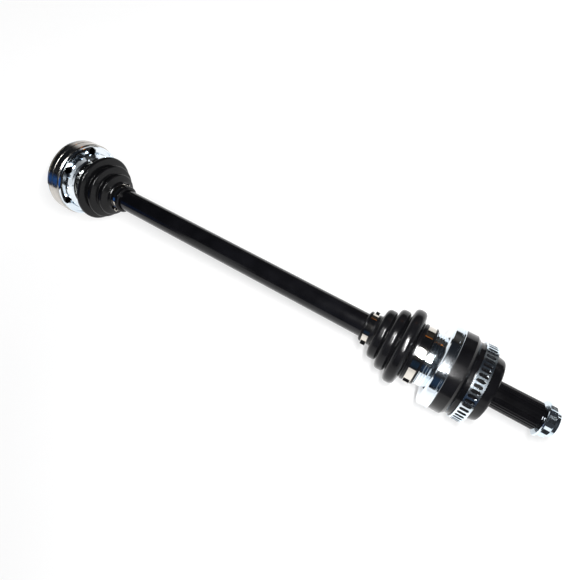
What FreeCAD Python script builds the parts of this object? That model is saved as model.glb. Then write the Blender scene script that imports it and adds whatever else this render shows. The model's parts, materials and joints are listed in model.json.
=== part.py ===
import FreeCAD, Part
import math
import os
import Sketcher

# CV axle (drive half-shaft). The X axis runs along the axle towards the wheel,
# +Z is up, and the origin is the centre of the inner joint's mounting face.
# All lengths are in millimetres and all angles in degrees.

doc = FreeCAD.newDocument("cv_axle")
sheet = doc.addObject("Spreadsheet::Sheet", "Sizes")


class Size:
    """A number, together with the spreadsheet expression that it comes from."""

    def __init__(self, value, text=None):
        self.value = float(value)
        self.text = text or repr(float(value))

    def __add__(self, other):
        other = as_size(other)
        return Size(self.value + other.value, f"({self.text} + {other.text})")

    def __sub__(self, other):
        other = as_size(other)
        return Size(self.value - other.value, f"({self.text} - {other.text})")

    def __mul__(self, other):
        other = as_size(other)
        return Size(self.value * other.value, f"({self.text} * {other.text})")

    def __truediv__(self, other):
        other = as_size(other)
        return Size(self.value / other.value, f"({self.text} / {other.text})")

    def __neg__(self):
        return Size(-self.value, f"(0 - {self.text})")

    __radd__ = __add__
    __rmul__ = __mul__


def as_size(number):
    return number if isinstance(number, Size) else Size(number)


def size(alias, value):
    """Add one driving dimension to the spreadsheet."""
    size.row += 1
    sheet.set(f"A{size.row}", alias)
    sheet.set(f"B{size.row}", str(value))
    sheet.setAlias(f"B{size.row}", alias)
    return Size(value, f"Sizes.{alias}")


size.row = 0

# ---- Driving dimensions -------------------------------------------------------

inner_centre = size("inner_centre", 12.5)
outer_centre = size("outer_centre", 556.0)
ball_count = size("ball_count", 6)
joint_roll = size("joint_roll", -4.0)

shaft_radius = size("shaft_radius", 14.0)
shaft_neck_radius = size("shaft_neck_radius", 11.5)
shaft_shoulder_radius = size("shaft_shoulder_radius", 14.5)
shaft_full_start = size("shaft_full_start", 78.0)
shaft_full_end = size("shaft_full_end", 468.0)
shaft_spline_radius = size("shaft_spline_radius", 13.0)
shaft_spline_teeth = size("shaft_spline_teeth", 28)
spline_depth = size("spline_depth", 1.1)

star_half_width = size("star_half_width", 12.0)
circlip_thick = size("circlip_thick", 1.6)
circlip_groove_radius = size("circlip_groove_radius", 11.6)
circlip_radius = size("circlip_radius", 15.2)
washer_thick = size("washer_thick", 1.6)
washer_radius = size("washer_radius", 17.0)
shaft_end_land = size("shaft_end_land", 2.4)

inner_ball_radius = size("inner_ball_radius", 8.0)
inner_pitch_radius = size("inner_pitch_radius", 27.0)
inner_star_radius = size("inner_star_radius", 23.5)
inner_cage_bore = size("inner_cage_bore", 24.0)
inner_cage_radius = size("inner_cage_radius", 30.5)
inner_cage_half_width = size("inner_cage_half_width", 13.0)
inner_housing_bore = size("inner_housing_bore", 31.0)

outer_ball_radius = size("outer_ball_radius", 9.0)
outer_pitch_radius = size("outer_pitch_radius", 29.5)
outer_star_radius = size("outer_star_radius", 25.5)
outer_cage_bore = size("outer_cage_bore", 26.0)
outer_cage_radius = size("outer_cage_radius", 32.5)
outer_cage_half_width = size("outer_cage_half_width", 14.0)
outer_housing_bore = size("outer_housing_bore", 33.0)
track_clearance = size("track_clearance", 0.4)

cover_thick = size("cover_thick", 1.2)
cover_dome_bore = size("cover_dome_bore", 35.5)
cover_dome_depth = size("cover_dome_depth", 14.2)
cover_dome_end_radius = size("cover_dome_end_radius", 28.0)
gasket_thick = size("gasket_thick", 0.8)

race_radius = size("race_radius", 50.0)
race_shoulder = size("race_shoulder", 19.3)
race_end = size("race_end", 23.5)
race_nose_radius = size("race_nose_radius", 38.5)
race_line_place = size("race_line_place", 9.6)
bolt_circle_radius = size("bolt_circle_radius", 43.0)
bolt_hole_radius = size("bolt_hole_radius", 4.2)
bolt_count = size("bolt_count", 6)

cap_sheet = size("cap_sheet", 1.3)
inner_cap_radius = size("inner_cap_radius", 48.6)
inner_cap_face = size("inner_cap_face", 23.3)
inner_neck_radius = size("inner_neck_radius", 31.7)
inner_neck_start = size("inner_neck_start", 30.6)
inner_neck_end = size("inner_neck_end", 42.5)
cap_cone_foot_radius = size("cap_cone_foot_radius", 40.4)
crescent_depth = size("crescent_depth", 2.8)
crescent_inner_radius = size("crescent_inner_radius", 40.9)
dimple_radius = size("dimple_radius", 38.3)
dimple_count = size("dimple_count", 18)

outer_cap_radius = size("outer_cap_radius", 46.8)
outer_cap_bead_radius = size("outer_cap_bead_radius", 47.2)
outer_neck_radius = size("outer_neck_radius", 29.5)
outer_neck_start = size("outer_neck_start", 509.0)
outer_cap_back = size("outer_cap_back", 536.1)
outer_cap_end = size("outer_cap_end", 547.5)
cap_groove_depth = size("cap_groove_depth", 0.7)

bell_radius = size("bell_radius", 45.4)
bell_mouth = size("bell_mouth", 538.0)
bell_waist_radius = size("bell_waist_radius", 41.2)
bell_face = size("bell_face", 593.7)
bell_face_radius = size("bell_face_radius", 33.0)
bell_nose_radius = size("bell_nose_radius", 37.6)
bell_cavity_depth = size("bell_cavity_depth", 22.0)
seal_thick = size("seal_thick", 0.6)
seal_bore = size("seal_bore", 42.6)

ring_start = size("ring_start", 569.5)
ring_width = size("ring_width", 12.6)
ring_bore = size("ring_bore", 42.3)
ring_radius = size("ring_radius", 43.6)
ring_window_length = size("ring_window_length", 9.7)
ring_window_width = size("ring_window_width", 3.8)
ring_window_count = size("ring_window_count", 48)

stub_spline_radius = size("stub_spline_radius", 14.75)
stub_spline_start = size("stub_spline_start", 597.0)
stub_spline_end = size("stub_spline_end", 643.0)
stub_spline_teeth = size("stub_spline_teeth", 27)
stub_thread_radius = size("stub_thread_radius", 12.0)
stub_end = size("stub_end", 658.0)

nut_start = size("nut_start", 645.0)
nut_flange_radius = size("nut_flange_radius", 19.0)
nut_flange_width = size("nut_flange_width", 2.6)
nut_head_radius = size("nut_head_radius", 16.9)
nut_head_width = size("nut_head_width", 7.4)
nut_collar_radius = size("nut_collar_radius", 13.5)
nut_collar_width = size("nut_collar_width", 4.0)
nut_clearance = size("nut_clearance", 0.05)

boot_wall = size("boot_wall", 2.2)
clamp_sheet = size("clamp_sheet", 0.8)
inner_clamp_start = size("inner_clamp_start", 33.0)
inner_clamp_bore = size("inner_clamp_bore", 33.4)
outer_clamp_start = size("outer_clamp_start", 513.0)
outer_clamp_bore = size("outer_clamp_bore", 31.4)
small_clamp_bore = size("small_clamp_bore", 16.6)
inner_small_clamp_start = size("inner_small_clamp_start", 80.5)
outer_small_clamp_start = size("outer_small_clamp_start", 455.0)
large_clamp_width = size("large_clamp_width", 8.0)
small_clamp_width = size("small_clamp_width", 6.5)

HIDDEN_GAP = 0.05
BOLT_ANGLE = 30.0


# ---- Construction helpers -----------------------------------------------------

def bind(item, path, amount):
    """Tie a property or a constraint to the spreadsheet."""
    item.setExpression(path, as_size(amount).text)


def origin_item(body, role):
    """Give one of a body's own origin planes or axes."""
    return next(item for item in body.Origin.OriginFeatures if item.Role == role)


def new_body(label, place=0, roll=0):
    """Make a body whose own origin stands at a place along the axle."""
    body = doc.addObject("PartDesign::Body", label)
    body.Label = label
    rotation = FreeCAD.Rotation(FreeCAD.Vector(1, 0, 0), as_size(roll).value)
    body.Placement = FreeCAD.Placement(FreeCAD.Vector(as_size(place).value, 0, 0), rotation)
    bind(body, "Placement.Base.x", place)
    return body


def new_sketch(body, role, name, offset=0):
    sketch = body.newObject("Sketcher::SketchObject", name)
    sketch.AttachmentSupport = [(origin_item(body, role), "")]
    sketch.MapMode = "FlatFace"
    bind(sketch, "AttachmentOffset.Base.z", offset)
    return sketch


def pin_coordinate(sketch, kind, axis, edge, end, amount):
    """Hold one coordinate of an edge's end at a spreadsheet value."""
    if amount.value == 0:
        sketch.addConstraint(Sketcher.Constraint("PointOnObject", edge, end, axis))
        return
    index = sketch.addConstraint(Sketcher.Constraint(kind, -1, 1, edge, end, amount.value))
    bind(sketch, f"Constraints[{index}]", amount)


def arc_about_origin(radius, first, second):
    """Make an arc about the sketch's origin and say which end comes first."""
    angles = []
    for corner in (first, second):
        height = math.sqrt(radius.value ** 2 - corner[0].value ** 2)
        angles.append(math.atan2(height, corner[0].value))
    circle = Part.Circle(FreeCAD.Vector(0, 0, 0), FreeCAD.Vector(0, 0, 1), radius.value)
    arc = Part.ArcOfCircle(circle, min(angles), max(angles))
    return arc, angles[0] < angles[1]


def outline(sketch, corners, arcs=None):
    """Draw a closed outline. An edge listed in arcs runs about the origin with that radius."""
    arcs = arcs or {}
    corners = [tuple(as_size(number) for number in corner) for corner in corners]
    count = len(corners)
    starts = []
    for index, corner in enumerate(corners):
        following = corners[(index + 1) % count]
        if index in arcs:
            arc, forward = arc_about_origin(arcs[index], corner, following)
            sketch.addGeometry(arc, False)
            starts.append((1, 2) if forward else (2, 1))
        else:
            ends = [FreeCAD.Vector(point[0].value, point[1].value, 0) for point in (corner, following)]
            sketch.addGeometry(Part.LineSegment(*ends), False)
            starts.append((1, 2))
    for index in range(count):
        after = (index + 1) % count
        joined = Sketcher.Constraint("Coincident", index, starts[index][1], after, starts[after][0])
        sketch.addConstraint(joined)
    for index, radius in arcs.items():
        sketch.addConstraint(Sketcher.Constraint("Coincident", index, 3, -1, 1))
        number = sketch.addConstraint(Sketcher.Constraint("Radius", index, radius.value))
        bind(sketch, f"Constraints[{number}]", radius)
    for index, corner in enumerate(corners):
        pin_coordinate(sketch, "DistanceX", -2, index, starts[index][0], corner[0])
        if index not in arcs and (index - 1) % count not in arcs:
            pin_coordinate(sketch, "DistanceY", -1, index, starts[index][0], corner[1])


def arc_corner(place, radius):
    """A corner at a given place along X, on an arc of the given radius about the origin."""
    return place, math.sqrt(radius.value ** 2 - as_size(place).value ** 2)


def circle(sketch, across, up, radius):
    """Draw a circle with its centre at (across, up)."""
    across, up, radius = as_size(across), as_size(up), as_size(radius)
    centre = FreeCAD.Vector(across.value, up.value, 0)
    index = sketch.addGeometry(Part.Circle(centre, FreeCAD.Vector(0, 0, 1), radius.value), False)
    pin_coordinate(sketch, "DistanceX", -2, index, 3, across)
    pin_coordinate(sketch, "DistanceY", -1, index, 3, up)
    number = sketch.addConstraint(Sketcher.Constraint("Radius", index, radius.value))
    bind(sketch, f"Constraints[{number}]", radius)


def turned(body, name, corners, arcs=None, angle=360):
    """Revolve an outline of (place, radius) corners about the axle's axis."""
    sketch = new_sketch(body, "XZ_Plane", name + "_outline")
    outline(sketch, corners, arcs)
    solid = body.newObject("PartDesign::Revolution", name)
    solid.Profile = sketch
    solid.ReferenceAxis = (sketch, ["H_Axis"])
    solid.Angle = angle
    sketch.Visibility = False
    return solid


def turned_cut(body, name, corners, angle=360):
    """Cut a turned groove, or a curved pocket where the angle is less than a whole turn."""
    sketch = new_sketch(body, "XZ_Plane", name + "_outline")
    outline(sketch, corners)
    cut = body.newObject("PartDesign::Groove", name)
    cut.Profile = sketch
    cut.ReferenceAxis = (sketch, ["H_Axis"])
    cut.Midplane = angle < 360
    cut.Angle = angle
    return cut


def around(body, name, feature, count):
    """Repeat a feature evenly about the axle's axis."""
    pattern = body.newObject("PartDesign::PolarPattern", name)
    pattern.Originals = [feature]
    pattern.Axis = (origin_item(body, "X_Axis"), [""])
    pattern.Angle = 360
    bind(pattern, "Occurrences", count)
    body.Tip = pattern
    return pattern


def bored_along(body, name, height, radius, turn=0):
    """Cut a round hole along X, at a height from the axis turned about the axis."""
    turn = math.radians(turn)
    sketch = new_sketch(body, "YZ_Plane", name + "_outline")
    circle(sketch, height * math.sin(turn), height * math.cos(turn), radius)
    cut = body.newObject("PartDesign::Pocket", name)
    cut.Profile = sketch
    cut.Type = "ThroughAll"
    cut.Midplane = True
    return cut


def curved_tracks(body, pitch_radius, ball_radius, towards_wheel, towards_shaft):
    """Cut the ball tracks: arcs about the joint's centre, each in a plane through the axis."""
    sketch = new_sketch(body, "YZ_Plane", "track_outline")
    circle(sketch, 0, pitch_radius, ball_radius + track_clearance)
    cut = body.newObject("PartDesign::Groove", "track")
    cut.Profile = sketch
    cut.ReferenceAxis = (sketch, ["H_Axis"])
    cut.Type = "TwoAngles"
    cut.Angle = towards_wheel
    cut.Angle2 = towards_shaft
    return around(body, "tracks", cut, ball_count)


def radial_windows(body, name, corners, count):
    """Cut a window straight out through one side of a ring, and repeat it round the ring."""
    sketch = new_sketch(body, "XY_Plane", name + "_outline")
    outline(sketch, corners)
    cut = body.newObject("PartDesign::Pocket", name)
    cut.Profile = sketch
    cut.Type = "ThroughAll"
    cut.Reversed = True
    return around(body, name + "_all", cut, count)


def splined(body, name, start, length, radius, teeth):
    """Cut the gaps between straight-sided spline teeth."""
    sketch = new_sketch(body, "YZ_Plane", name + "_outline", start)
    root_radius = radius - spline_depth
    half_pitch = radius * (math.pi / 2 / teeth.value)
    corners = [(-half_pitch * 0.55, root_radius), (half_pitch * 0.55, root_radius),
               (half_pitch * 1.25, radius + 0.3), (-half_pitch * 1.25, radius + 0.3)]
    outline(sketch, corners)
    cut = body.newObject("PartDesign::Pocket", name)
    cut.Profile = sketch
    cut.Type = "Length"
    bind(cut, "Length", length)
    cut.Reversed = True
    return around(body, name + "_teeth", cut, teeth)


# ---- Shaft and the pieces on it -------------------------------------------------

def make_axle_shaft():
    body = new_body("axle_shaft")
    inner_star_start = inner_centre - star_half_width
    inner_star_end = inner_centre + star_half_width
    outer_star_start = outer_centre - star_half_width
    outer_star_end = outer_centre + star_half_width
    first = inner_star_start - circlip_thick - shaft_end_land
    last = outer_star_end + circlip_thick + shaft_end_land
    washer_end = inner_star_end + washer_thick
    shoulder_width = 2.5
    chamfer = 1.0
    taper = 4.0
    corners = [
        (first, 0), (first, shaft_spline_radius - chamfer), (first + chamfer, shaft_spline_radius),
        (inner_star_start - circlip_thick, shaft_spline_radius),
        (inner_star_start - circlip_thick, circlip_groove_radius),
        (inner_star_start, circlip_groove_radius), (inner_star_start, shaft_spline_radius),
        (washer_end, shaft_spline_radius), (washer_end, shaft_shoulder_radius),
        (washer_end + shoulder_width, shaft_shoulder_radius),
        (washer_end + shoulder_width + chamfer, shaft_neck_radius),
        (shaft_full_start - taper, shaft_neck_radius), (shaft_full_start, shaft_radius),
        (shaft_full_end, shaft_radius), (shaft_full_end + taper, shaft_neck_radius),
        (outer_star_start - shoulder_width - chamfer, shaft_neck_radius),
        (outer_star_start - shoulder_width, shaft_shoulder_radius),
        (outer_star_start, shaft_shoulder_radius), (outer_star_start, shaft_spline_radius),
        (outer_star_end, shaft_spline_radius), (outer_star_end, circlip_groove_radius),
        (outer_star_end + circlip_thick, circlip_groove_radius),
        (outer_star_end + circlip_thick, shaft_spline_radius),
        (last - chamfer, shaft_spline_radius), (last, shaft_spline_radius - chamfer), (last, 0),
    ]
    turned(body, "bar", corners)
    spline_length = star_half_width * 2
    splined(body, "inner_spline", inner_star_start, spline_length, shaft_spline_radius,
            shaft_spline_teeth)
    splined(body, "outer_spline", outer_star_start, spline_length, shaft_spline_radius,
            shaft_spline_teeth)
    return body


def make_star(label, centre, star_radius, pitch_radius, ball_radius):
    """The inner race, whose outside is a ball with a track for each steel ball."""
    body = new_body(label, centre, joint_roll)
    left, right = -star_half_width, star_half_width
    corners = [
        (left, shaft_spline_radius), arc_corner(left, star_radius),
        arc_corner(right, star_radius), (right, shaft_spline_radius),
    ]
    turned(body, "ball_form", corners, {1: star_radius})
    curved_tracks(body, pitch_radius, ball_radius, 75, 75)
    return body


def make_circlip(label, start):
    body = new_body(label, start, 20)
    thick = circlip_thick - HIDDEN_GAP
    corners = [(0, circlip_groove_radius), (0, circlip_radius), (thick, circlip_radius),
               (thick, circlip_groove_radius)]
    turned(body, "ring", corners, angle=325)
    return body


def make_dished_washer():
    """The washer that the star bears on; its rim leans towards the star."""
    body = new_body("inner_dished_washer", inner_centre + star_half_width)
    corners = [(0.5, shaft_spline_radius + HIDDEN_GAP), (0.0, washer_radius),
               (1.0, washer_radius), (washer_thick, shaft_spline_radius + HIDDEN_GAP)]
    turned(body, "ring", corners)
    return body


def make_cage(label, centre, radius, bore, half_width, ball_radius):
    body = new_body(label, centre, joint_roll)
    corners = [arc_corner(-half_width, bore), arc_corner(-half_width, radius),
               arc_corner(half_width, radius), arc_corner(half_width, bore)]
    turned(body, "ring", corners, {1: radius, 3: bore})
    half_length = ball_radius + HIDDEN_GAP
    half_across = ball_radius + 1.5
    radial_windows(body, "window", [
        (-half_length, -half_across), (half_length, -half_across),
        (half_length, half_across), (-half_length, half_across)], ball_count)
    return body


def make_balls(label, centre, pitch_radius, ball_radius):
    balls = []
    for index in range(int(ball_count.value)):
        ball = doc.addObject("Part::Sphere", f"{label}_{index + 1}")
        turn = math.radians(360.0 / ball_count.value * index - joint_roll.value)
        bind(ball, "Radius", ball_radius)
        bind(ball, "Placement.Base.x", centre)
        bind(ball, "Placement.Base.y", pitch_radius * math.sin(turn))
        bind(ball, "Placement.Base.z", pitch_radius * math.cos(turn))
        balls.append(ball)
    group = doc.addObject("Part::Compound", label)
    group.Label = label
    group.Links = balls
    return group


# ---- Inner joint, bolted to the final drive -------------------------------------

def cut_bolt_holes(body):
    hole = bored_along(body, "bolt_hole", bolt_circle_radius, bolt_hole_radius, BOLT_ANGLE)
    return around(body, "bolt_holes", hole, bolt_count)


def make_sealing_cover():
    """The domed sheet cover whose flange is the face that meets the drive flange."""
    body = new_body("inner_sealing_cover", 0, joint_roll)
    rim_radius = race_radius - 0.8
    dome_side = -5.0
    outside_radius = cover_dome_bore + cover_thick
    corners = [
        (cover_thick, cover_dome_bore), (cover_thick, rim_radius), (0, rim_radius),
        (0, outside_radius), (dome_side, outside_radius),
        (-cover_dome_depth, cover_dome_end_radius + cover_thick), (-cover_dome_depth, 0),
        (cover_thick - cover_dome_depth, 0),
        (cover_thick - cover_dome_depth, cover_dome_end_radius), (dome_side + 0.5, cover_dome_bore),
    ]
    turned(body, "shell", corners)
    cut_bolt_holes(body)
    return body


def make_cover_gasket():
    body = new_body("inner_cover_gasket", cover_thick, joint_roll)
    rim_radius = race_radius - 1.2
    corners = [(0, cover_dome_bore + 0.4), (0, rim_radius), (gasket_thick, rim_radius),
               (gasket_thick, cover_dome_bore + 0.4)]
    turned(body, "ring", corners)
    cut_bolt_holes(body)
    return body


def make_inner_race():
    """The flange-shaped housing, with straight ball tracks that let the joint plunge."""
    body = new_body("inner_joint_race", 0, joint_roll)
    start = cover_thick + gasket_thick
    chamfer = 0.9
    line_depth = 0.6
    corners = [
        (start, inner_housing_bore), (start, race_radius - chamfer),
        (start + chamfer, race_radius), (race_line_place - line_depth, race_radius),
        (race_line_place, race_radius - line_depth), (race_line_place + line_depth, race_radius),
        (race_shoulder - chamfer, race_radius), (race_shoulder, race_radius - chamfer),
        (race_shoulder, race_nose_radius), (race_end - 2.0, race_nose_radius),
        (race_end, race_nose_radius - 1.4), (race_end, inner_housing_bore),
    ]
    turned(body, "flange", corners)
    cut_bolt_holes(body)
    track = bored_along(body, "track", inner_pitch_radius, inner_ball_radius + track_clearance)
    around(body, "tracks", track, ball_count)
    return body


def make_inner_boot_cap():
    """The plated cap that carries the boot; crescent pockets lie between its bolt holes."""
    body = new_body("inner_boot_cap", 0, joint_roll)
    neck_bore = inner_neck_radius - cap_sheet
    lip_back = race_shoulder + HIDDEN_GAP
    nose_clear = race_nose_radius + 0.1
    corners = [
        (lip_back, nose_clear), (lip_back, inner_cap_radius),
        (inner_cap_face - 0.6, inner_cap_radius), (inner_cap_face, inner_cap_radius - 0.6),
        (inner_cap_face, cap_cone_foot_radius), (inner_cap_face + 2.4, cap_cone_foot_radius - 1.0),
        (inner_neck_start - 2.2, inner_neck_radius + 3.4),
        (inner_neck_start, inner_neck_radius + 0.6), (inner_neck_start + 0.8, inner_neck_radius),
        (inner_neck_end, inner_neck_radius), (inner_neck_end, neck_bore),
        (inner_neck_start, neck_bore), (inner_neck_start - 0.9, neck_bore + 0.6),
        (inner_neck_start - 3.6, inner_neck_radius + 2.4),
        (inner_cap_face + 1.2, cap_cone_foot_radius - 2.2), (inner_cap_face - 1.4, nose_clear),
    ]
    turned(body, "cap", corners)
    cut_bolt_holes(body)
    floor = inner_cap_face - crescent_depth
    crescent_outer_radius = inner_cap_radius - 2.4
    pocket = turned_cut(body, "crescent", [
        (floor, crescent_inner_radius), (floor, crescent_outer_radius),
        (inner_cap_face + 1.0, crescent_outer_radius),
        (inner_cap_face + 1.0, crescent_inner_radius)], angle=43)
    around(body, "crescents", pocket, bolt_count)
    dimple_start = inner_cap_face + 1.6
    dimple_end = dimple_start + 2.0
    dimple_top = dimple_radius + 3.2
    dimple = turned_cut(body, "dimple", [
        (dimple_start, dimple_radius), (dimple_start, dimple_top),
        (dimple_end, dimple_top), (dimple_end, dimple_radius)], angle=7)
    around(body, "dimples", dimple, dimple_count)
    return body


# ---- Outer joint, at the wheel --------------------------------------------------

def make_bell():
    """The bell and its splined stub shaft, one forging."""
    body = new_body("outer_bell", outer_centre, joint_roll)
    mouth = bell_mouth - outer_centre
    ring_seat = ring_start - outer_centre
    ring_seat_end = ring_seat + ring_width - 1.6
    face = bell_face - outer_centre
    spline_start = stub_spline_start - outer_centre
    spline_end = stub_spline_end - outer_centre
    end = stub_end - outer_centre
    seat_radius = ring_bore - 0.02
    land_radius = stub_spline_radius + 1.4
    corners = [
        arc_corner(mouth, outer_housing_bore), (mouth, bell_radius - 1.2),
        (mouth + 1.2, bell_radius), (ring_seat - 9.5, bell_radius),
        (ring_seat - 5.0, bell_waist_radius + 0.4), (ring_seat - 4.4, bell_waist_radius),
        (ring_seat, bell_waist_radius), (ring_seat, seat_radius), (ring_seat_end, seat_radius),
        (ring_seat_end + 1.0, seat_radius - 1.0), (ring_seat_end + 1.4, bell_nose_radius),
        (ring_seat_end + 3.0, bell_nose_radius - 1.0), (face - 2.6, bell_face_radius + 1.9),
        (face - 0.9, bell_face_radius + 1.2),
        (face, bell_face_radius), (face, land_radius + 1.6), (face + 0.8, land_radius),
        (spline_start - 1.2, land_radius), (spline_start, stub_spline_radius),
        (spline_end - 1.0, stub_spline_radius), (spline_end, stub_spline_radius - 1.0),
        (spline_end, stub_thread_radius - 0.9), (spline_end + 1.4, stub_thread_radius - 0.9),
        (spline_end + 2.0, stub_thread_radius), (end - 1.2, stub_thread_radius),
        (end, stub_thread_radius - 1.2), (end, 0), (bell_cavity_depth, 0),
        arc_corner(bell_cavity_depth, outer_housing_bore),
    ]
    turned(body, "forging", corners, {28: outer_housing_bore})
    curved_tracks(body, outer_pitch_radius, outer_ball_radius, 33, 75)
    splined(body, "stub_spline", spline_start, stub_spline_end - stub_spline_start,
            stub_spline_radius, stub_spline_teeth)
    return body


def make_outer_boot_cap():
    """The plated cap pressed over the bell's mouth; its neck carries the boot, its rim is rolled."""
    body = new_body("outer_boot_cap")
    neck_bore = outer_neck_radius - cap_sheet
    inside = bell_radius + HIDDEN_GAP
    ridge = outer_neck_radius + 1.2
    groove_radius = outer_cap_radius - cap_groove_depth
    back_inside = outer_cap_back + cap_sheet
    corners = [
        (outer_neck_start, neck_bore), (outer_neck_start, outer_neck_radius),
        (outer_cap_back - 12.0, outer_neck_radius), (outer_cap_back - 11.4, ridge),
        (outer_cap_back - 9.3, ridge), (outer_cap_back - 8.9, ridge - 0.6),
        (outer_cap_back - 8.5, ridge), (outer_cap_back - 6.5, ridge),
        (outer_cap_back - 6.1, ridge - 0.6), (outer_cap_back - 5.7, ridge),
        (outer_cap_back - 4.2, ridge + 0.2), (outer_cap_back - 1.4, outer_cap_radius - 2.6),
        (outer_cap_back, outer_cap_radius - 0.9), (outer_cap_back + 1.0, outer_cap_radius),
        (outer_cap_end - 3.7, outer_cap_radius), (outer_cap_end - 3.4, groove_radius),
        (outer_cap_end - 2.5, groove_radius), (outer_cap_end - 2.2, outer_cap_bead_radius),
        (outer_cap_end - 0.6, outer_cap_bead_radius), (outer_cap_end, outer_cap_bead_radius - 0.7),
        (outer_cap_end, inside), (back_inside, inside), (back_inside, outer_cap_radius - 4.6),
        (outer_cap_back, outer_cap_radius - 5.6), (outer_cap_back - 3.0, neck_bore + 1.2),
        (outer_cap_back - 3.6, neck_bore),
    ]
    turned(body, "cap", corners)
    return body


def make_cap_seal():
    """The flat rubber ring squeezed between the bell's mouth and its cap."""
    body = new_body("outer_cap_seal", bell_mouth - seal_thick)
    corners = [(0, seal_bore), (0, bell_radius - 1.4), (seal_thick, bell_radius - 1.4),
               (seal_thick, seal_bore)]
    turned(body, "ring", corners)
    return body


def make_abs_ring():
    """The pressed sheet ring whose windows the wheel-speed sensor counts."""
    middle = ring_width / 2
    body = new_body("abs_ring", ring_start + middle, joint_roll)
    corners = [(-middle, ring_bore), (-middle, ring_radius), (middle, ring_radius),
               (middle, ring_bore)]
    turned(body, "band", corners)
    half_width = ring_window_width / 2
    straight = ring_window_length / 2 - half_width
    shallow = half_width * 0.71
    corners = [(straight, -half_width), (straight + shallow, -shallow),
               (straight + half_width, 0), (straight + shallow, shallow), (straight, half_width)]
    mirrored = [(-place, -across) for place, across in corners]
    radial_windows(body, "window", corners + mirrored, ring_window_count)
    return body


def hexagon(body, name, roll, place, radius, width):
    """Add a hexagonal prism along X."""
    prism = body.newObject("PartDesign::AdditivePrism", name)
    prism.AttachmentSupport = [(origin_item(body, "YZ_Plane"), "")]
    prism.MapMode = "FlatFace"
    prism.AttachmentOffset = FreeCAD.Placement(
        FreeCAD.Vector(0, 0, place.value), FreeCAD.Rotation(FreeCAD.Vector(0, 0, 1), roll))
    bind(prism, "AttachmentOffset.Base.z", place)
    prism.Polygon = 6
    bind(prism, "Circumradius", radius)
    bind(prism, "Height", width)
    return prism


def make_axle_nut():
    """The flanged twelve-point nut with a thin collar that is staked on the thread."""
    body = new_body("axle_nut", nut_start, 10)
    bore = stub_thread_radius + nut_clearance
    head_start = nut_flange_width
    head_end = nut_flange_width + nut_head_width
    collar_end = head_end + nut_collar_width
    corners = [
        (0, bore), (0, nut_flange_radius - 0.7), (0.7, nut_flange_radius),
        (head_start - 0.9, nut_flange_radius), (head_start, nut_flange_radius - 1.6),
        (head_start, nut_collar_radius), (collar_end - 0.5, nut_collar_radius),
        (collar_end, nut_collar_radius - 0.5), (collar_end, bore),
    ]
    turned(body, "flange", corners)
    hexagon(body, "hexagon", 0, head_start, nut_head_radius, nut_head_width)
    hexagon(body, "second_hexagon", 30, head_start, nut_head_radius, nut_head_width)
    sketch = new_sketch(body, "YZ_Plane", "bore_outline")
    circle(sketch, 0, 0, bore)
    cut = body.newObject("PartDesign::Pocket", "bore")
    cut.Profile = sketch
    cut.Type = "ThroughAll"
    cut.Midplane = True
    body.Tip = cut
    bevel = turned_cut(body, "bevel", [
        (head_end - 1.4, nut_head_radius + 0.01), (head_end + 0.01, nut_head_radius + 0.01),
        (head_end + 0.01, nut_head_radius - 2.2)])
    body.Tip = bevel
    return body


# ---- Boots and clamps -----------------------------------------------------------

def bellows(body, cuffs_before, folds, cuffs_after):
    """Revolve a boot: its outside follows the cuffs and folds, its inside lies a wall within."""
    inside = [(place, as_size(radius) - boot_wall) for place, radius in reversed(folds)]
    corners = cuffs_before + folds + cuffs_after + inside
    turned(body, "bellows", corners)
    return body


def make_inner_boot():
    body = new_body("inner_boot")
    lip = 1.3
    start = inner_clamp_start - 1.2
    cuff_end = inner_clamp_start + large_clamp_width
    small_end = inner_small_clamp_start + small_clamp_width
    cuff_bore = inner_neck_radius + HIDDEN_GAP
    small_bore = shaft_radius + HIDDEN_GAP
    before = [
        (inner_neck_end + 0.4, cuff_bore), (start, cuff_bore),
        (start, inner_clamp_bore + lip), (inner_clamp_start - 0.2, inner_clamp_bore + lip),
        (inner_clamp_start - 0.1, inner_clamp_bore), (cuff_end + 0.1, inner_clamp_bore),
        (cuff_end + 0.2, inner_clamp_bore + lip), (cuff_end + 1.8, inner_clamp_bore + lip),
    ]
    folds = [(46.6, 41.8), (49.3, 43.7), (52.0, 41.6), (55.6, 33.2), (58.2, 36.9), (60.2, 38.0),
             (62.2, 36.7), (65.6, 27.6), (68.2, 29.5), (70.0, 30.0), (71.8, 29.0), (75.2, 21.6)]
    after = [
        (small_end - 8.0, 22.4), (small_end - 6.8, small_clamp_bore + lip),
        (inner_small_clamp_start - 0.1, small_clamp_bore), (small_end + 0.1, small_clamp_bore),
        (small_end + 0.2, small_clamp_bore + lip), (small_end + 3.6, small_clamp_bore + lip),
        (small_end + 5.0, small_clamp_bore - 1.0), (small_end + 5.0, small_bore),
        (inner_small_clamp_start - 1.5, small_bore),
    ]
    return bellows(body, before, folds, after)


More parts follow.
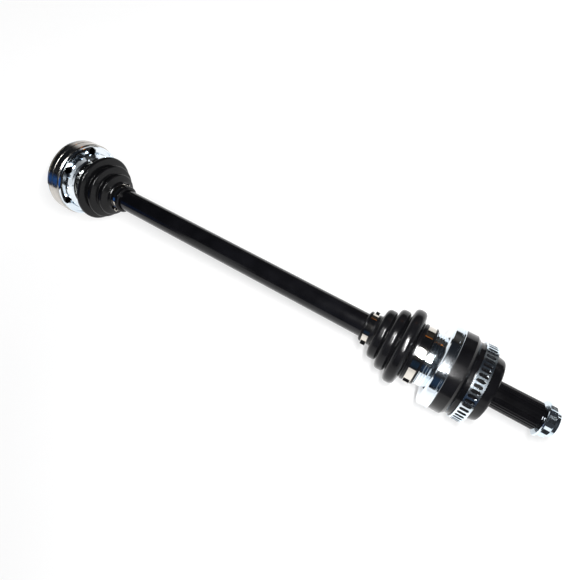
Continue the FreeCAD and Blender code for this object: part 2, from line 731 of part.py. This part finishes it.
def make_outer_boot():
    body = new_body("outer_boot")
    lip = 1.4
    start = outer_small_clamp_start - 3.6
    small_end = outer_small_clamp_start + small_clamp_width
    cuff_start = outer_clamp_start
    cuff_end = outer_clamp_start + large_clamp_width
    cuff_bore = outer_neck_radius + HIDDEN_GAP
    small_bore = shaft_radius + HIDDEN_GAP
    before = [
        (small_end + 2.0, small_bore), (start, small_bore),
        (start, small_clamp_bore - 0.6), (start + 1.2, small_clamp_bore + lip),
        (outer_small_clamp_start - 0.2, small_clamp_bore + lip),
        (outer_small_clamp_start - 0.1, small_clamp_bore), (small_end + 0.1, small_clamp_bore),
        (small_end + 0.2, small_clamp_bore + lip), (small_end + 2.6, small_clamp_bore + lip),
    ]
    folds = [(468.6, 26.6), (471.2, 29.0), (474.6, 29.0), (477.0, 27.2), (478.7, 24.4),
             (480.4, 33.4), (483.2, 35.8), (487.0, 35.8), (489.8, 33.6), (491.8, 29.2),
             (494.4, 41.2), (497.4, 43.6), (501.8, 43.6), (504.8, 40.8), (507.8, 32.4)]
    after = [
        (cuff_start - 2.0, outer_clamp_bore + lip), (cuff_start - 0.2, outer_clamp_bore + lip),
        (cuff_start - 0.1, outer_clamp_bore), (cuff_end + 0.1, outer_clamp_bore),
        (cuff_end + 0.2, outer_clamp_bore + lip), (cuff_end + 2.0, outer_clamp_bore + lip),
        (cuff_end + 2.0, cuff_bore), (cuff_start - 4.0, cuff_bore),
    ]
    return bellows(body, before, folds, after)


def make_clamp(label, start, bore, width, ear_angle, ear_half_width, ear_height, tab_turn=None):
    """A stainless band drawn tight by a crimped ear, which stands up like a staple."""
    body = new_body(label, start, ear_angle)
    outside = bore + clamp_sheet
    turned(body, "band", [(0, bore), (0, outside), (width, outside), (width, bore)])
    foot = bore + clamp_sheet / 2
    top = outside + ear_height
    lean = 0.9
    sketch = new_sketch(body, "YZ_Plane", "ear_outline", 0.6)
    inner_half = ear_half_width - clamp_sheet
    corners = [
        (-ear_half_width, foot), (-ear_half_width + lean, top), (ear_half_width - lean, top),
        (ear_half_width, foot), (inner_half, foot), (inner_half - lean, top - clamp_sheet),
        (-inner_half + lean, top - clamp_sheet), (-inner_half, foot),
    ]
    outline(sketch, corners)
    ear = body.newObject("PartDesign::Pad", "ear")
    ear.Profile = sketch
    bind(ear, "Length", width - 1.2)
    if tab_turn is not None:
        add_band_tab(body, outside, width, tab_turn)
    return body


def add_band_tab(body, outside, width, turn):
    """Add the short upright end of the band."""
    sketch = new_sketch(body, "YZ_Plane", "tab_outline", 1.2)
    turn = math.radians(turn)
    reach = ((outside - clamp_sheet / 2), (outside + 2.6))
    corners = []
    for radius, side in ((reach[0], -0.4), (reach[1], -0.4), (reach[1], 0.4), (reach[0], 0.4)):
        corners.append((radius * math.sin(turn) + side * math.cos(turn),
                        radius * math.cos(turn) - side * math.sin(turn)))
    outline(sketch, corners)
    tab = body.newObject("PartDesign::Pad", "tab")
    tab.Profile = sketch
    bind(tab, "Length", width - 2.4)


# ---- The assembly ---------------------------------------------------------------

def make_all():
    large_ear = (Size(4.6), Size(2.0))
    small_ear = (Size(3.6), Size(3.2))
    inner_star_start = inner_centre - star_half_width
    return [
        make_axle_shaft(),
        make_star("inner_star", inner_centre, inner_star_radius, inner_pitch_radius,
                  inner_ball_radius),
        make_star("outer_star", outer_centre, outer_star_radius, outer_pitch_radius,
                  outer_ball_radius),
        make_circlip("inner_star_circlip", inner_star_start - circlip_thick),
        make_circlip("outer_star_circlip", outer_centre + star_half_width + HIDDEN_GAP),
        make_dished_washer(),
        make_cage("inner_cage", inner_centre, inner_cage_radius, inner_cage_bore,
                  inner_cage_half_width, inner_ball_radius),
        make_cage("outer_cage", outer_centre, outer_cage_radius, outer_cage_bore,
                  outer_cage_half_width, outer_ball_radius),
        make_balls("inner_balls", inner_centre, inner_pitch_radius, inner_ball_radius),
        make_balls("outer_balls", outer_centre, outer_pitch_radius, outer_ball_radius),
        make_sealing_cover(),
        make_cover_gasket(),
        make_inner_race(),
        make_inner_boot_cap(),
        make_bell(),
        make_outer_boot_cap(),
        make_cap_seal(),
        make_abs_ring(),
        make_axle_nut(),
        make_inner_boot(),
        make_outer_boot(),
        make_clamp("inner_large_clamp", inner_clamp_start, inner_clamp_bore, large_clamp_width,
                   -100, *large_ear),
        make_clamp("outer_large_clamp", outer_clamp_start, outer_clamp_bore, large_clamp_width,
                   102, *large_ear),
        make_clamp("inner_small_clamp", inner_small_clamp_start, small_clamp_bore,
                   small_clamp_width, 101, *small_ear, tab_turn=160),
        make_clamp("outer_small_clamp", outer_small_clamp_start, small_clamp_bore,
                   small_clamp_width, 108, *small_ear, tab_turn=170),
    ]


def check_document(pieces):
    """Stop if any object failed or any piece is empty or broken."""
    for item in doc.Objects:
        if "Invalid" in item.State or "Error" in item.State:
            raise RuntimeError(f"{item.Label} failed: {item.State}")
    for piece in pieces:
        if piece.Shape.isNull() or not piece.Shape.isValid():
            raise RuntimeError(f"{piece.Label} has no valid shape")


def write_pieces(pieces):
    os.makedirs("parts", exist_ok=True)
    for piece in pieces:
        piece.Shape.exportStep(os.path.join("parts", piece.Label + ".step"))
        box = piece.Shape.BoundBox
        print(f"{piece.Label:22s} x {box.XMin:8.2f} to {box.XMax:8.2f}  "
              f"solids {len(piece.Shape.Solids)}  volume {piece.Shape.Volume:10.1f}")


pieces = make_all()
doc.recompute()
check_document(pieces)
write_pieces(pieces)
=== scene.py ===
import json
import math

import bmesh
import bpy
from mathutils import Matrix, Vector


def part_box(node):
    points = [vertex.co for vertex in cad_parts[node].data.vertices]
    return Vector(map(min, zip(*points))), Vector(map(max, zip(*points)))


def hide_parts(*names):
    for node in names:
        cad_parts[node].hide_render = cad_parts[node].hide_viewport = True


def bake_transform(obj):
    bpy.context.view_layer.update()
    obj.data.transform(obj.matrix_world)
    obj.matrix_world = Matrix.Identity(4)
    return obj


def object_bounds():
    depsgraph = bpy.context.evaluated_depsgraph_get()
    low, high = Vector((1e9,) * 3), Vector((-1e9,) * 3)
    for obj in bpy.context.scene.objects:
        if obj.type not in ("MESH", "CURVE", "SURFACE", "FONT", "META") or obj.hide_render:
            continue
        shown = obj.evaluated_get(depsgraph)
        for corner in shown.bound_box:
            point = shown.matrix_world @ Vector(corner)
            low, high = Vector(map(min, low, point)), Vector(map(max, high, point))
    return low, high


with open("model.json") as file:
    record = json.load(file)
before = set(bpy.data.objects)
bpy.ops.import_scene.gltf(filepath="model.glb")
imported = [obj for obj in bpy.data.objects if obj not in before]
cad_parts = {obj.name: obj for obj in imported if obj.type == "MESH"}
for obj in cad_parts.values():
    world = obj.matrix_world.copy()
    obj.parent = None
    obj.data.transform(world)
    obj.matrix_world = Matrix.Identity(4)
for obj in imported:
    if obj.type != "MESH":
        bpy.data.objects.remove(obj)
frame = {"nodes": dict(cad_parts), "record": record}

# A drive half-shaft lying on a pale floor. +X runs along the axle towards the wheel.
# The CAD frame is in metres; profiles below are written in millimetres and scaled by MM.

cad_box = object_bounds()
nodes = frame["nodes"]

MM = 0.001

# Bolt holes of the inner joint, which place the painted shade in their bores, in metres: radius of
# their circle, radius of a hole and a little more, where the joint's own length ends, their count,
# and their turn from +Z.
BOLT_CIRCLE = 0.043
BOLT_RADIUS = 0.0043
BOLT_END = 0.03
BOLT_COUNT = 6
BOLT_TURN = math.radians(34)

# Profiles: the bend below which a corner is left alone, the share of a span that a fillet
# may take, and the turn between two points of an arc.
STRAIGHT = math.radians(178)
FILLET_SHARE = 0.48
ARC_STEP = math.radians(11)


# ---- Profiles and turned meshes -------------------------------------------------

def fillet(before, corner, after, radius):
    """Points of an arc of the given radius that rounds one corner of a profile."""
    into = Vector(before) - Vector(corner)
    out = Vector(after) - Vector(corner)
    shorter = min(into.length, out.length)
    into.normalize()
    out.normalize()
    opening = into.angle(out)
    if radius <= 0 or opening > STRAIGHT:
        return [tuple(corner)]
    reach = min(radius / math.tan(opening / 2), FILLET_SHARE * shorter)
    radius = reach * math.tan(opening / 2)
    middle = (into + out).normalized()
    centre = Vector(corner) + middle * (radius / math.sin(opening / 2))
    first = Vector(corner) + into * reach - centre
    turn = math.pi - opening
    clockwise = into.x * out.y - into.y * out.x > 0
    steps = max(2, math.ceil(turn / ARC_STEP))
    points = []
    for step in range(steps + 1):
        angle = turn * step / steps * (-1 if clockwise else 1)
        points.append(tuple(centre + Matrix.Rotation(angle, 2) @ first))
    return points


def rounded(corners):
    """A smooth open profile from (place, radius, fillet) corners, in millimetres."""
    plain = [(place, radius) for place, radius, _ in corners]
    points = [plain[0]]
    for index in range(1, len(corners) - 1):
        points += fillet(plain[index - 1], plain[index], plain[index + 1], corners[index][2])
    points.append(plain[-1])
    return points


def even(points, longest):
    """The same profile with long spans divided, so that it bends evenly."""
    dense = [points[0]]
    for first, second in zip(points, points[1:]):
        gap = math.dist(first, second)
        parts = max(1, math.ceil(gap / longest))
        for part in range(1, parts + 1):
            share = part / parts
            dense.append((first[0] + (second[0] - first[0]) * share,
                          first[1] + (second[1] - first[1]) * share))
    return dense


def wall_inside(points, wall, least):
    """The inside of a wall: each point moved inwards along the profile's own normal."""
    inside = []
    for index, point in enumerate(points):
        ahead = points[min(index + 1, len(points) - 1)]
        behind = points[max(index - 1, 0)]
        along = (Vector(ahead) - Vector(behind)).normalized()
        inside.append((point[0] + along.y * wall, max(point[1] - along.x * wall, least)))
    return inside


def lathe(name, loop, segments=192):
    """Turn a closed profile (millimetres) about the X axis into a smooth mesh."""
    mesh = bpy.data.meshes.new(name)
    vertices = []
    for step in range(segments):
        angle = 2 * math.pi * step / segments
        for place, radius in loop:
            across, up = radius * MM * math.sin(angle), radius * MM * math.cos(angle)
            vertices.append((place * MM, across, up))
    count = len(loop)
    faces = []
    for step in range(segments):
        here = step * count
        there = (step + 1) % segments * count
        for index in range(count):
            after = (index + 1) % count
            faces.append((here + index, here + after, there + after, there + index))
    mesh.from_pydata(vertices, [], faces)
    piece = bpy.data.objects.new(name, mesh)
    bpy.context.scene.collection.objects.link(piece)
    finish_mesh(piece)
    return piece


def finish_mesh(piece, sharp_degrees=38):
    """Outward normals and smooth shading, with edges kept where faces turn sharply."""
    work = bmesh.new()
    work.from_mesh(piece.data)
    bmesh.ops.recalc_face_normals(work, faces=work.faces)
    for face in work.faces:
        face.smooth = True
    for edge in work.edges:
        bend = edge.calc_face_angle(0)
        edge.smooth = not edge.is_manifold or bend < math.radians(sharp_degrees)
    work.to_mesh(piece.data)
    work.free()


# ---- Materials --------------------------------------------------------------------

class Finish:
    """One procedural material, built node by node."""

    def __init__(self, name, colour, metallic=0.0, roughness=0.4, **constants):
        self.material = bpy.data.materials.new(name)
        self.material.use_nodes = True
        self.tree = self.material.node_tree
        self.shader = self.tree.nodes["Principled BSDF"]
        self.set(self.shader, {"Base Color": (*colour, 1), "Metallic": metallic,
                               "Roughness": roughness, **constants})
        self.place = self.add("ShaderNodeTexCoord").outputs["Object"]

    def set(self, node, values):
        for socket, value in values.items():
            node.inputs[socket].default_value = value

    def add(self, kind, values=None, links=None, **settings):
        node = self.tree.nodes.new(kind)
        for setting, value in settings.items():
            setattr(node, setting, value)
        self.set(node, values or {})
        for socket, source in (links or {}).items():
            self.tree.links.new(source, node.inputs[socket])
        return node

    def link(self, source, socket):
        self.tree.links.new(source, self.shader.inputs[socket])

    def noise(self, scale, detail=3.0, roughness=0.5, place=None):
        values = {"Scale": scale, "Detail": detail, "Roughness": roughness}
        return self.add("ShaderNodeTexNoise", values,
                        {"Vector": place or self.place}).outputs["Fac"]

    def turned_place(self):
        """Coordinates that run along the axle and out from it, for marks left by a lathe."""
        split = self.add("ShaderNodeSeparateXYZ", links={"Vector": self.place})
        across = self.add("ShaderNodeCombineXYZ",
                          links={"X": split.outputs["Y"], "Y": split.outputs["Z"]})
        out = self.add("ShaderNodeVectorMath", links={0: across.outputs[0]}, operation="LENGTH")
        return self.add("ShaderNodeCombineXYZ", links={"X": split.outputs["X"],
                                                       "Y": out.outputs["Value"]}).outputs[0]

    def spread(self, factor, low, high):
        """Turn a 0 to 1 pattern into a number between low and high."""
        return self.add("ShaderNodeMapRange", {"From Min": 0.3, "From Max": 0.7, "To Min": low,
                                               "To Max": high}, {"Value": factor}).outputs["Result"]

    def ramp(self, factor, stops):
        node = self.add("ShaderNodeValToRGB", links={"Fac": factor})
        elements = node.color_ramp.elements
        while len(elements) < len(stops):
            elements.new(0.5)
        for element, (position, colour) in zip(elements, stops):
            element.position = position
            element.color = (*colour, 1)
        return node.outputs["Color"]

    def math(self, operation, *values):
        """A Math node: each value is a number or the output of another node."""
        node = self.add("ShaderNodeMath", operation=operation)
        for index, value in enumerate(values):
            if isinstance(value, (int, float)):
                node.inputs[index].default_value = value
            else:
                self.tree.links.new(value, node.inputs[index])
        return node.outputs["Value"]

    def paint_bolt_hole_shade(self):
        """Painted shade: make the bores of the inner joint's bolt holes black, as holes in shade
        are.
        """
        split = self.add("ShaderNodeSeparateXYZ", links={"Vector": self.place})
        along, across, up = split.outputs
        half_gap = math.pi / BOLT_COUNT
        turn = self.math("SUBTRACT", self.math("ARCTAN2", across, up), BOLT_TURN)
        turn = self.math("WRAP", turn, half_gap, -half_gap)
        reach = self.length(across, up)
        aside = self.math("MULTIPLY", reach, self.math("SINE", turn))
        outward = self.math("MULTIPLY", reach, self.math("COSINE", turn))
        outward = self.math("SUBTRACT", outward, BOLT_CIRCLE)
        hole_shade_mask = self.math("LESS_THAN", self.length(aside, outward), BOLT_RADIUS)
        inside = self.math("MULTIPLY", hole_shade_mask, self.math("LESS_THAN", along, BOLT_END))
        colour = self.shader.inputs["Base Color"].links[0].from_socket
        # painted shade: near-black colour mixed into the bolt-hole bores
        mixed = self.add("ShaderNodeMixRGB", {"Color2": (0.002, 0.002, 0.002, 1)},
                         {"Fac": inside, "Color1": colour})
        self.link(mixed.outputs["Color"], "Base Color")

    def length(self, first, second):
        """The length of a vector from its two parts."""
        squares = [self.math("MULTIPLY", part, part) for part in (first, second)]
        return self.math("SQRT", self.math("ADD", *squares))

    def bump(self, height, strength, distance):
        node = self.add("ShaderNodeBump", {"Strength": strength, "Distance": distance},
                        {"Height": height})
        self.link(node.outputs["Normal"], "Normal")


def painted(name, colour, roughness, peel, **constants):
    """Black paint: a faint orange peel, and gloss that varies a little."""
    finish = Finish(name, colour, roughness=roughness, **constants)
    darker, lighter = [c * 0.8 for c in colour], [c * 1.4 for c in colour]
    finish.link(finish.ramp(finish.noise(45, 4), [(0.35, darker), (0.7, lighter)]), "Base Color")
    gloss = finish.spread(finish.noise(90, 3), roughness * 0.9, roughness * 1.15)
    finish.link(gloss, "Roughness")
    finish.bump(finish.noise(700, 2), peel, 0.0002)
    return finish.material


def rubber():
    """Moulded boot rubber: semi-gloss, with a fine skin and a greyish bloom in patches."""
    finish = Finish("boot_rubber", (0.003, 0.003, 0.0034), roughness=0.2,
                    **{"Specular IOR Level": 0.2})
    plain, bloom = (0.0022, 0.0022, 0.0026), (0.004, 0.004, 0.0046)
    finish.link(finish.ramp(finish.noise(70, 5), [(0.35, plain), (0.75, bloom)]), "Base Color")
    finish.link(finish.spread(finish.noise(90, 3), 0.17, 0.22), "Roughness")
    finish.bump(finish.noise(2600, 3), 0.06, 0.0001)
    return finish.material


def plated(name, light, dark, roughness, shade_bolt_holes=False):
    """Bright zinc plate over turned or pressed steel, with a blue cast in places."""
    finish = Finish(name, light, metallic=1.0, roughness=roughness)
    cast = finish.noise(38, 4, 0.6)
    finish.link(finish.ramp(cast, [(0.3, dark), (0.62, light)]), "Base Color")
    marks = finish.noise(1400, 2, 0.6, finish.turned_place())
    finish.link(finish.spread(marks, roughness * 0.8, roughness * 1.3), "Roughness")
    finish.bump(marks, 0.05, 0.0001)
    if shade_bolt_holes:
        finish.paint_bolt_hole_shade()
    return finish.material


def ground_steel(name, colour, roughness, marks_scale=1800, shade_bolt_holes=False):
    """Bare steel with fine lathe or grinding lines around the axle."""
    finish = Finish(name, colour, metallic=1.0, roughness=roughness)
    lines = finish.noise(marks_scale, 3, 0.7, finish.turned_place())
    darker = [c * 0.8 for c in colour]
    finish.link(finish.ramp(finish.noise(60, 4), [(0.3, darker), (0.7, colour)]), "Base Color")
    finish.link(finish.spread(lines, roughness * 0.7, roughness * 1.6), "Roughness")
    finish.bump(lines, 0.1, 0.0001)
    if shade_bolt_holes:
        finish.paint_bolt_hole_shade()
    return finish.material


def fibre():
    """Pressed gasket fibre, matt and mottled."""
    finish = Finish("gasket_fibre", (0.3, 0.25, 0.17), roughness=0.85)
    darker, lighter = (0.2, 0.16, 0.1), (0.36, 0.3, 0.22)
    finish.link(finish.ramp(finish.noise(900, 6), [(0.3, darker), (0.7, lighter)]), "Base Color")
    finish.bump(finish.noise(2400, 4), 0.4, 0.0002)
    return finish.material


ZINC_WHITE = (0.84, 0.89, 0.93)
ZINC_BLUE = (0.7, 0.79, 0.87)
FINISHES = {
    "shaft_paint": painted("shaft_paint", (0.0024, 0.0024, 0.003), 0.15, 0.05,
                           **{"Specular IOR Level": 0.35}),
    "bell_black": painted("bell_black", (0.0022, 0.0022, 0.0026), 0.15, 0.05,
                          **{"Specular IOR Level": 0.28}),
    # The race and the zinc plate get painted shade in the inner joint's bolt-hole bores.
    "race_steel": ground_steel("race_steel", (0.6, 0.57, 0.53), 0.13, shade_bolt_holes=True),
    "zinc_plate": plated("zinc_plate", ZINC_WHITE, ZINC_BLUE, 0.08, shade_bolt_holes=True),
    "ring_zinc": plated("ring_zinc", (0.8, 0.87, 0.92), (0.62, 0.74, 0.84), 0.14),
    "clamp_steel": ground_steel("clamp_steel", (0.7, 0.66, 0.6), 0.05, 2600),
    "hardened_steel": ground_steel("hardened_steel", (0.34, 0.34, 0.35), 0.3),
    "ball_steel": ground_steel("ball_steel", (0.78, 0.78, 0.79), 0.06, 400),
    "spring_steel": ground_steel("spring_steel", (0.17, 0.17, 0.18), 0.35),
    "boot_rubber": rubber(),
    "seal_rubber": painted("seal_rubber", (0.02, 0.02, 0.02), 0.6, 0.3),
    "gasket": fibre(),
}


def dress_cad_nodes():
    """Give every CAD node the finish of its slot in the record."""
    for part in frame["record"]["subparts"]:
        piece = nodes[part["node"]]
        piece.data.materials.clear()
        piece.data.materials.append(FINISHES[part["material_slot"]])


# ---- Boots ------------------------------------------------------------------------

# Millimetres: the wall of a boot, and the longest straight step of its profile.
BOOT_WALL = 2.2
BOOT_STEP = 0.9

# The radius inside which no boot reaches, where it sits on the bar, on the outer boot cap
# and on the inner one, in millimetres.
BAR_SEAT = 14.1
OUTER_CAP_SEAT = 29.6
INNER_CAP_SEAT = 31.8


def boot_segment(name, node, outside, least):
    """A closed length of boot, turned about the axle, that takes the place of its hidden CAD node.

    It has the given outside, an inside a wall away, and an end at each side.
    """
    outside = even(outside, BOOT_STEP)
    inside = wall_inside(outside, BOOT_WALL, least)
    piece = lathe(name, outside + inside[::-1])
    piece.data.materials.append(FINISHES["boot_rubber"])
    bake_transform(piece)
    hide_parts(node)


def split_at(points, place):
    """Divide a smooth profile in two where it first reaches a place along the axle."""
    index = next(number for number, point in enumerate(points) if point[0] >= place)
    before, after = points[index - 1], points[index]
    share = (place - before[0]) / (after[0] - before[0])
    cut = (place, before[1] + (after[1] - before[1]) * share)
    return points[:index] + [cut], [cut] + points[index:]


def make_outer_boot():
    """Three rounded folds between the bar's clamp and the outer boot cap."""
    low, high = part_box("outer_boot")
    start, end = low.x / MM, high.x / MM
    lip = 0.5
    corners = [
        (start, 14.3, 0), (start, 16.6, 0.7), (start + 1.0, 18.0, 0.7), (start + 3.3, 18.0, lip),
        (start + 3.5, 16.7, 0.1), (start + 10.2, 16.7, 0.1), (start + 10.4, 18.0, lip),
        (start + 12.6, 18.0, 0.8), (start + 14.4, 19.0, 1.5),
        (467.6, 29.4, 4.6), (477.4, 29.4, 4.6), (478.6, 24.6, 0.9),
        (479.6, 36.0, 5.0), (490.4, 36.0, 5.2), (491.8, 29.4, 0.9),
        (493.6, 43.7, 5.4), (505.4, 43.7, 5.6), (507.8, 32.4, 1.4), (509.4, 31.6, 0.5),
        (509.8, 32.9, 0.4), (512.7, 32.9, 0.4), (512.9, 31.5, 0.1), (521.1, 31.5, 0.1),
        (521.3, 32.9, 0.4), (end, 32.9, 0.6), (end, 29.7, 0),
    ]
    bend_start, middle, bend_end = start + 13, 491.8, 511.0
    front, rear = split_at(rounded(corners), middle)
    boot_segment("outer_boot_front", "outer_boot", front, BAR_SEAT)
    boot_segment("outer_boot_rear", "outer_boot", rear, OUTER_CAP_SEAT)


def make_inner_boot():
    """Three stepped folds between the inner boot cap and the bar's clamp."""
    low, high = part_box("inner_boot")
    start, end = low.x / MM, high.x / MM
    corners = [
        (start, 31.9, 0), (start, 34.6, 0.5), (32.9, 34.6, 0.3), (33.0, 33.5, 0.1),
        (41.1, 33.5, 0.1), (41.2, 34.7, 0.3), (43.0, 34.7, 0.8), (43.9, 34.2, 0.8),
        (47.0, 43.7, 2.8), (51.8, 43.7, 2.6), (55.6, 31.2, 1.3),
        (59.2, 36.6, 2.3), (63.4, 36.4, 2.3), (66.8, 25.6, 1.3),
        (70.0, 28.9, 2.2), (74.0, 28.6, 2.3), (77.2, 20.4, 1.6), (78.8, 19.6, 1.2),
        (80.2, 18.2, 0.6), (80.35, 16.7, 0.1), (87.1, 16.7, 0.1), (87.3, 18.0, 0.4),
        (90.6, 18.0, 0.8), (end, 16.0, 0.6), (end, 14.3, 0),
    ]
    slide_start, slide_end, bend_middle, bend_end = 42.0, 55.6, 66.8, 79.5
    wide, rest = split_at(rounded(corners), slide_end)
    middle, narrow = split_at(rest, bend_middle)
    boot_segment("inner_boot_wide", "inner_boot", wide, INNER_CAP_SEAT)
    boot_segment("inner_boot_middle", "inner_boot", middle, BAR_SEAT)
    boot_segment("inner_boot_narrow", "inner_boot", narrow, BAR_SEAT)


# ---- Floor, light and camera --------------------------------------------------------

# The floor, in metres: half its width, how far it lies under the axle, and the place from
# which its painted glow grows between two distances, a point under the camera.
FLOOR_HALF = 9.0
FLOOR_GAP = 0.0002
GLOW_CENTRE = (0.5, -0.2)
GLOW_NEAR, GLOW_FAR = 0.2, 0.7


def make_floor():
    """Pale paper lit by the flash near the axle, with painted light: a glow that grows with
    distance from a point under the camera and is even further away.
    """
    mesh = bpy.data.meshes.new("floor")
    half = FLOOR_HALF
    level = cad_box[0][2] - FLOOR_GAP
    mesh.from_pydata([(-half, -half, level), (half, -half, level), (half, half, level),
                      (-half, half, level)], [], [(0, 1, 2, 3)])
    floor = bpy.data.objects.new("floor", mesh)
    bpy.context.scene.collection.objects.link(floor)
    finish = Finish("floor_paper", (0.32, 0.32, 0.32), roughness=0.75)
    darker, lighter = (0.31, 0.31, 0.31), (0.33, 0.33, 0.33)
    finish.link(finish.ramp(finish.noise(3, 2), [(0.3, darker), (0.7, lighter)]), "Base Color")
    away = finish.add("ShaderNodeVectorMath", {1: (*GLOW_CENTRE, level)}, {0: finish.place},
                      operation="DISTANCE").outputs["Value"]
    glow = finish.add("ShaderNodeMapRange", {"From Min": GLOW_NEAR, "From Max": GLOW_FAR,
                                             "To Min": 0.42, "To Max": 0.86},
                      {"Value": away}).outputs["Result"]
    # painted light: the paper's emission, growing with distance from the point under the camera
    finish.set(finish.shader, {"Emission Color": (1, 1, 1, 1)})
    finish.link(glow, "Emission Strength")
    mesh.materials.append(finish.material)


CAMERA_PLACE = Vector((0.5004, -0.2020, 0.4462))
CAMERA_AHEAD = Vector((-0.28485, 0.38759, -0.87672))
CAMERA_UP = Vector((-0.44901, 0.75411, 0.47927))
CAMERA_LENS = 26.8


def make_camera():
    """The photograph's own view, from above the wheel end."""
    data = bpy.data.cameras.new("camera")
    data.lens = CAMERA_LENS
    data.sensor_width = 36
    data.clip_start = 0.01
    camera = bpy.data.objects.new("camera", data)
    bpy.context.scene.collection.objects.link(camera)
    right = CAMERA_AHEAD.cross(CAMERA_UP).normalized()
    up = right.cross(CAMERA_AHEAD).normalized()
    axes = Matrix((right, up, -CAMERA_AHEAD.normalized())).transposed().to_4x4()
    camera.matrix_world = Matrix.Translation(CAMERA_PLACE) @ axes
    bpy.context.scene.camera = camera


def aim(light, place, target):
    """Put a light or a card in its place, facing the target."""
    light.location = place
    light.rotation_euler = (Vector(target) - Vector(place)).to_track_quat("-Z", "Y").to_euler()


def area_light(name, place, target, width, height, power):
    """A rectangular light, in metres and watts, that the camera doesn't see."""
    data = bpy.data.lights.new(name, "AREA")
    data.shape = "RECTANGLE"
    data.size = width
    data.size_y = height
    data.energy = power
    light = bpy.data.objects.new(name, data)
    bpy.context.scene.collection.objects.link(light)
    aim(light, place, target)
    light.visible_camera = False


def make_lights():
    """A narrow strip flash beside the camera, and weak soft light from both sides and above."""
    middle = (0.33, 0, 0)
    area_light("flash", (0.53, -0.15, 0.47), (0.5, 0, 0), 0.03, 0.3, 8)
    area_light("low_side", (0.5, -1.2, 0.3), middle, 1.2, 0.2, 1)
    area_light("far_side", (0.9, 1.1, 0.5), middle, 0.5, 0.3, 1.5)
    data = bpy.data.lights.new("ceiling_bounce", "SUN")
    data.energy = 0.25
    data.angle = math.radians(100)
    bounce = bpy.data.objects.new("ceiling_bounce", data)
    bpy.context.scene.collection.objects.link(bounce)
    bounce.visible_glossy = False


def reflected_card(name, place, target, width, height, colour):
    """A coloured card with soft edges, which shows only in what reflects it."""
    mesh = bpy.data.meshes.new(name)
    x, y = width / 2, height / 2
    mesh.from_pydata([(-x, -y, 0), (x, -y, 0), (x, y, 0), (-x, y, 0)], [], [(0, 1, 2, 3)])
    card = bpy.data.objects.new(name, mesh)
    bpy.context.scene.collection.objects.link(card)
    aim(card, place, target)
    card.visible_camera = card.visible_diffuse = card.visible_shadow = False
    finish = Finish(name, (0, 0, 0), roughness=1)
    finish.set(finish.shader, {"Emission Color": (*colour, 1)})
    stretched = finish.add("ShaderNodeVectorMath", {1: (1 / x, 1 / y, 1)}, {0: finish.place},
                           operation="MULTIPLY").outputs["Vector"]
    outward = finish.add("ShaderNodeVectorMath", links={0: stretched},
                         operation="LENGTH").outputs["Value"]
    glow = finish.add("ShaderNodeMapRange", {"From Min": 1.0, "From Max": 0.3},
                      {"Value": outward}, interpolation_type="SMOOTHSTEP").outputs["Result"]
    finish.link(glow, "Emission Strength")
    mesh.materials.append(finish.material)


def make_cards():
    """What the metal and the black paint reflect: dim blue, brown and amber."""
    reflected_card("navy_card", (0.5, -1.0, 0.45), (0.5, 0, 0.45), 1.3, 0.84, (0.004, 0.02, 0.05))
    reflected_card("blue_card", (-0.3, -0.42, 0.12), (0, 0, 0.12), 0.4, 0.34, (0.006, 0.08, 0.32))
    reflected_card("brown_card", (0.3, 1.0, 0.5), (0.3, 0, 0.5), 2.4, 0.96, (0.03, 0.026, 0.022))
    reflected_card("amber_card", (0.465, 0.7, 0.55), (0.465, 0, 0), 0.26, 0.07, (1.6, 0.5, 0.04))


def make_world():
    """A pale horizon under a dark ceiling."""
    world = bpy.data.worlds.new("studio")
    world.use_nodes = True
    bpy.context.scene.world = world
    tree = world.node_tree
    place = tree.nodes.new("ShaderNodeTexCoord")
    split = tree.nodes.new("ShaderNodeSeparateXYZ")
    height = tree.nodes.new("ShaderNodeValToRGB")
    horizon, ceiling = height.color_ramp.elements
    horizon.position = 0.26
    horizon.color = (0.85, 0.85, 0.85, 1)
    ceiling.position = 0.44
    ceiling.color = (0.012, 0.014, 0.018, 1)
    tree.links.new(place.outputs["Generated"], split.inputs["Vector"])
    tree.links.new(split.outputs["Z"], height.inputs["Fac"])
    tree.links.new(height.outputs["Color"], tree.nodes["Background"].inputs["Color"])
    bpy.context.scene.view_settings.view_transform = "Standard"


dress_cad_nodes()
make_outer_boot()
make_inner_boot()
make_floor()
make_camera()
make_lights()
make_cards()
make_world()
